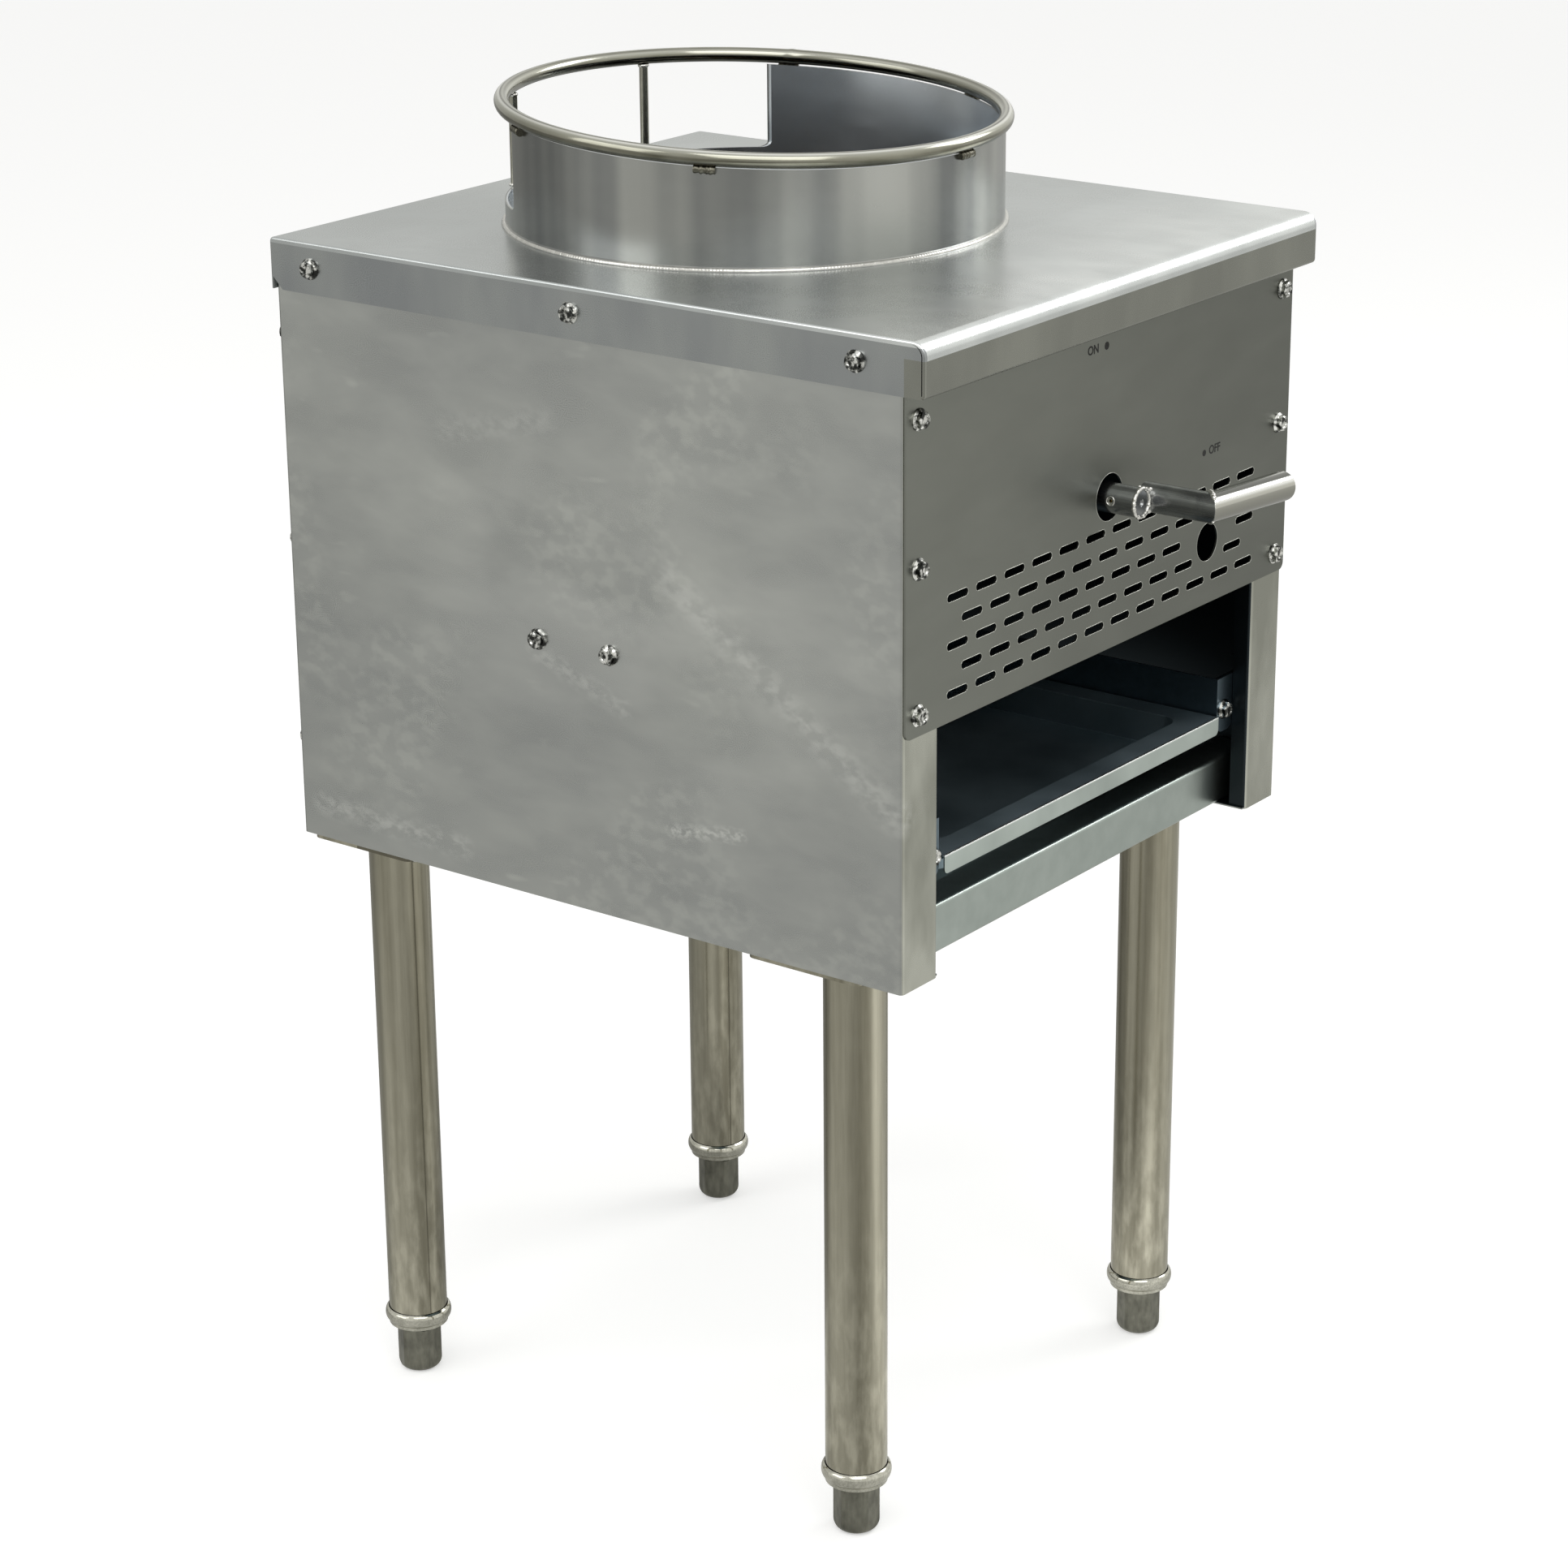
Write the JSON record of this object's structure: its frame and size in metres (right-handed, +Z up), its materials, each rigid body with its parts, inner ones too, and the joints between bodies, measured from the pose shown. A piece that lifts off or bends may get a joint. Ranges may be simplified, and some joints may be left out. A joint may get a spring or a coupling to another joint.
{
  "type": "wok range",
  "caption": "Free-standing stainless wok range: a box on tube legs with a round wok ring, a lever gas valve on a slotted front and a slide-out drip tray.",
  "frame": {"origin": "on the floor, under the middle of the whole, with the lever and the gas pipe", "axes": "+X to the right seen from the front, +Y to the back, +Z up"},
  "size_m": [0.4626, 0.6186, 0.9163],
  "materials": {
    "stainless_sheet": "brushed, mill finish",
    "stainless_collar": "rolled mill finish",
    "galvanised_sheet": "satin, galvanised",
    "polished_bar": "polished",
    "lever_steel": "satin, turned",
    "leg_steel": "brushed",
    "weld_steel": "as welded",
    "heat_dark_steel": "matte, darkened",
    "zinc_screw": "zinc plated",
    "cast_iron": "matte, as cast",
    "black_pipe": "satin",
    "brass": "machined",
    "aluminium_tube": "satin"
  },
  "bodies": {
    "frame": {"top_deck": "stainless_sheet", "left_side_panel": "stainless_sheet", "right_side_panel": "stainless_sheet", "back_panel": "stainless_sheet", "valve_panel": "stainless_sheet", "front_channel": "galvanised_sheet", "rear_channel": "galvanised_sheet", "wok_collar": "stainless_collar", "rim_ring": "polished_bar", "rim_rods": "polished_bar", "rim_lugs": "weld_steel", "flame_chamber": "heat_dark_steel", "burner": "cast_iron", "burner_jets": "brass", "burner_cradle": "heat_dark_steel", "burner_crossbar": "galvanised_sheet", "left_tray_rail": "galvanised_sheet", "right_tray_rail": "galvanised_sheet", "left_rail_bracket": "galvanised_sheet", "right_rail_bracket": "galvanised_sheet", "gas_inlet_pipe": "black_pipe", "valve_feed_pipe": "black_pipe", "burner_feed_pipe": "black_pipe", "burner_nipples": "black_pipe", "pipe_elbows": "black_pipe", "valve_body": "brass", "valve_bonnet": "brass", "pilot_valve": "brass", "pilot_tube": "aluminium_tube", "pilot_burner": "brass", "valve_panel_screws": "zinc_screw", "back_panel_screws": "zinc_screw", "deck_bolts": "zinc_screw", "side_bolts": "zinc_screw", "rail_bolts": "zinc_screw", "leg_plate_bolts": "zinc_screw", "body_nuts": "zinc_screw", "leg_plate_nuts": "zinc_screw", "leg_front_left": "leg_steel", "socket_front_left": "leg_steel", "leg_front_right": "leg_steel", "socket_front_right": "leg_steel", "leg_back_left": "leg_steel", "socket_back_left": "leg_steel", "leg_back_right": "leg_steel", "socket_back_right": "leg_steel"},
    "gas_lever": {"valve_plug": "brass", "lever_hub": "lever_steel", "lever_arm": "lever_steel", "lever_grip": "polished_bar", "lever_weld": "weld_steel", "lever_set_screw": "zinc_screw"},
    "tray": {"drip_tray": "galvanised_sheet"},
    "pilot_cock": {"pilot_cock": "brass"},
    "foot_front_left": {"foot_front_left": "polished_bar"},
    "foot_front_right": {"foot_front_right": "polished_bar"},
    "foot_back_left": {"foot_back_left": "polished_bar"},
    "foot_back_right": {"foot_back_right": "polished_bar"}
  },
  "joints": [
    {"name": "gas_lever_turn", "type": "hinge", "parent": "frame", "child": "gas_lever", "pos_m": [0, -0.23572, 0.6823], "axis": [0, -1, 0], "range_deg": [0, 90]},
    {"name": "tray_slide", "type": "slide", "parent": "frame", "child": "tray", "axis": [0, -1, 0], "range_m": [0, 0.42]},
    {"name": "pilot_cock_turn", "type": "hinge", "parent": "frame", "child": "pilot_cock", "pos_m": [-0.09, -0.15773, 0.71565], "axis": [0, -1, 0], "range_deg": [0, 90]},
    {"name": "foot_front_left_screw", "type": "slide", "parent": "frame", "child": "foot_front_left", "axis": [0, 0, -1], "range_m": [0, 0.02]},
    {"name": "foot_front_right_screw", "type": "slide", "parent": "frame", "child": "foot_front_right", "axis": [0, 0, -1], "range_m": [0, 0.02]},
    {"name": "foot_back_left_screw", "type": "slide", "parent": "frame", "child": "foot_back_left", "axis": [0, 0, -1], "range_m": [0, 0.02]},
    {"name": "foot_back_right_screw", "type": "slide", "parent": "frame", "child": "foot_back_right", "axis": [0, 0, -1], "range_m": [0, 0.02]}
  ]
}
